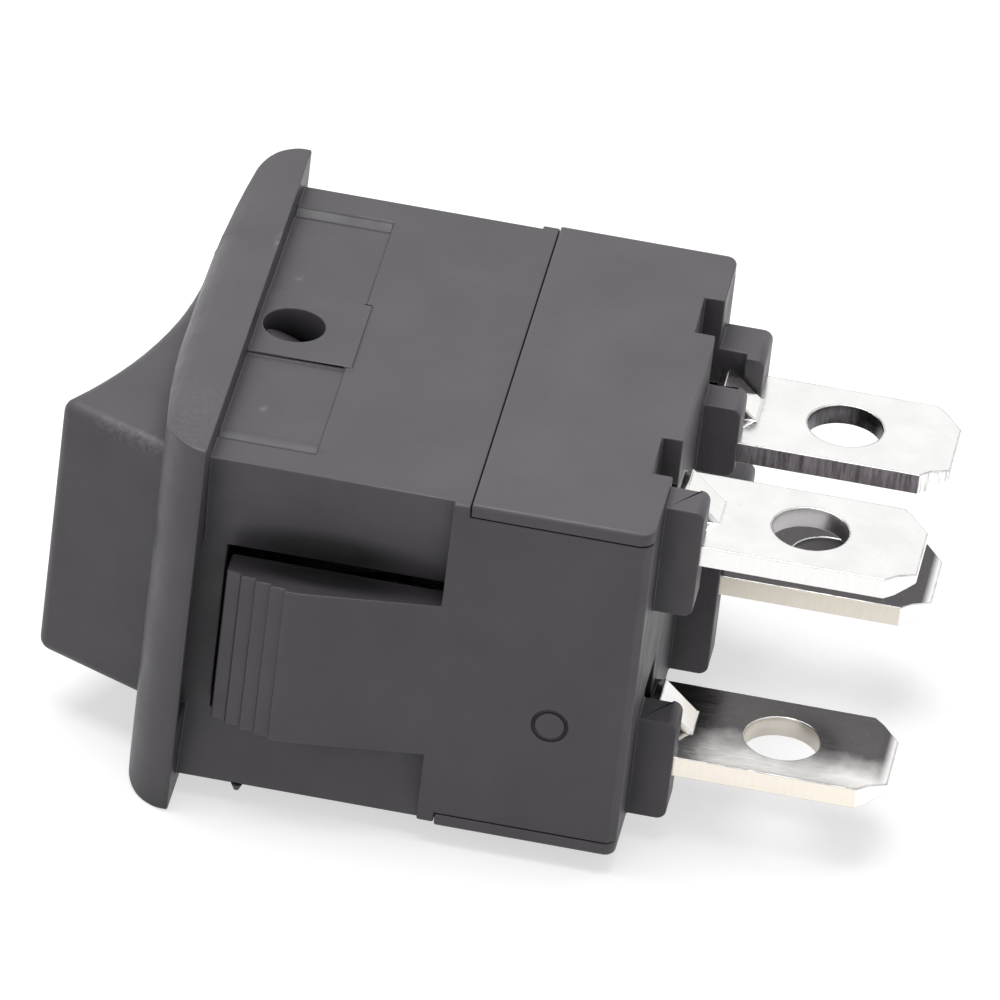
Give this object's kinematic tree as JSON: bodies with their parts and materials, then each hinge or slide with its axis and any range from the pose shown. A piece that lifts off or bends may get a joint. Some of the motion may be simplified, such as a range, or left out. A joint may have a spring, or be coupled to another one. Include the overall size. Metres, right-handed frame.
{
  "type": "panel rocker switch",
  "caption": "Two-pole on-off rocker switch with a rectangular bezel, snap-in latch arms and blade terminals with solder holes.",
  "frame": {"origin": "centre of the bezel's flat back face, which seats on the panel", "axes": "+Y out of the panel's back towards the terminals, +X along the bezel's long side towards the end of the rocker that stands out when off, +Z across, towards pole a"},
  "size_m": [0.021, 0.0304, 0.015],
  "materials": {
    "body_plastic": "moulded black nylon, satin, with light edges",
    "base_plastic": "moulded black nylon, a little greyer than the housing",
    "rocker_plastic": "moulded black nylon, fine texture",
    "plunger_plastic": "natural acetal, smooth",
    "spring_steel": "drawn spring wire",
    "copper": "stamped copper, bright",
    "silver": "silver alloy rivets",
    "tinned_brass": "brass strip with a pale tin plating, satin, with a grey sheared edge"
  },
  "bodies": {
    "frame": {"housing": "body_plastic", "base": "base_plastic", "common_terminal_a": "tinned_brass", "common_terminal_b": "tinned_brass", "load_terminal_a": "tinned_brass", "load_terminal_b": "tinned_brass", "fixed_contact_a": "silver", "fixed_contact_b": "silver"},
    "rocker": {"rocker": "rocker_plastic", "spring_a": "spring_steel", "spring_b": "spring_steel"},
    "plunger_a": {"plunger_a": "plunger_plastic"},
    "plunger_b": {"plunger_b": "plunger_plastic"},
    "bridge_a": {"bridge_a": "copper", "moving_contact_a": "silver"},
    "bridge_b": {"bridge_b": "copper", "moving_contact_b": "silver"}
  },
  "joints": [
    {"name": "rocker_tilt", "type": "hinge", "parent": "frame", "child": "rocker", "pos_m": [0, 0.0013, 0], "axis": [0, 0, 1], "range_deg": [0, 28]},
    {"name": "plunger_a_slide", "type": "slide", "parent": "rocker", "child": "plunger_a", "axis": [-0.2419, -0.9703, 0], "range_m": [0, 0.0012], "stiffness_N_per_m": 800, "springref_m": -0.002, "deforming": ["spring_a"]},
    {"name": "plunger_b_slide", "type": "slide", "parent": "rocker", "child": "plunger_b", "axis": [-0.2419, -0.9703, 0], "range_m": [0, 0.0012], "stiffness_N_per_m": 800, "springref_m": -0.002, "deforming": ["spring_b"]},
    {"name": "bridge_a_rock", "type": "hinge", "parent": "frame", "child": "bridge_a", "pos_m": [0, 0.01078, 0], "axis": [0, 0, 1], "range_deg": [-12.2, 0]},
    {"name": "bridge_b_rock", "type": "hinge", "parent": "frame", "child": "bridge_b", "pos_m": [0, 0.01078, 0], "axis": [0, 0, 1], "range_deg": [-12.2, 0]}
  ],
  "couplings": [
    {"joint": "bridge_a_rock", "follows": "rocker_tilt", "ratio": -0.42857},
    {"joint": "bridge_b_rock", "follows": "rocker_tilt", "ratio": -0.42857}
  ]
}
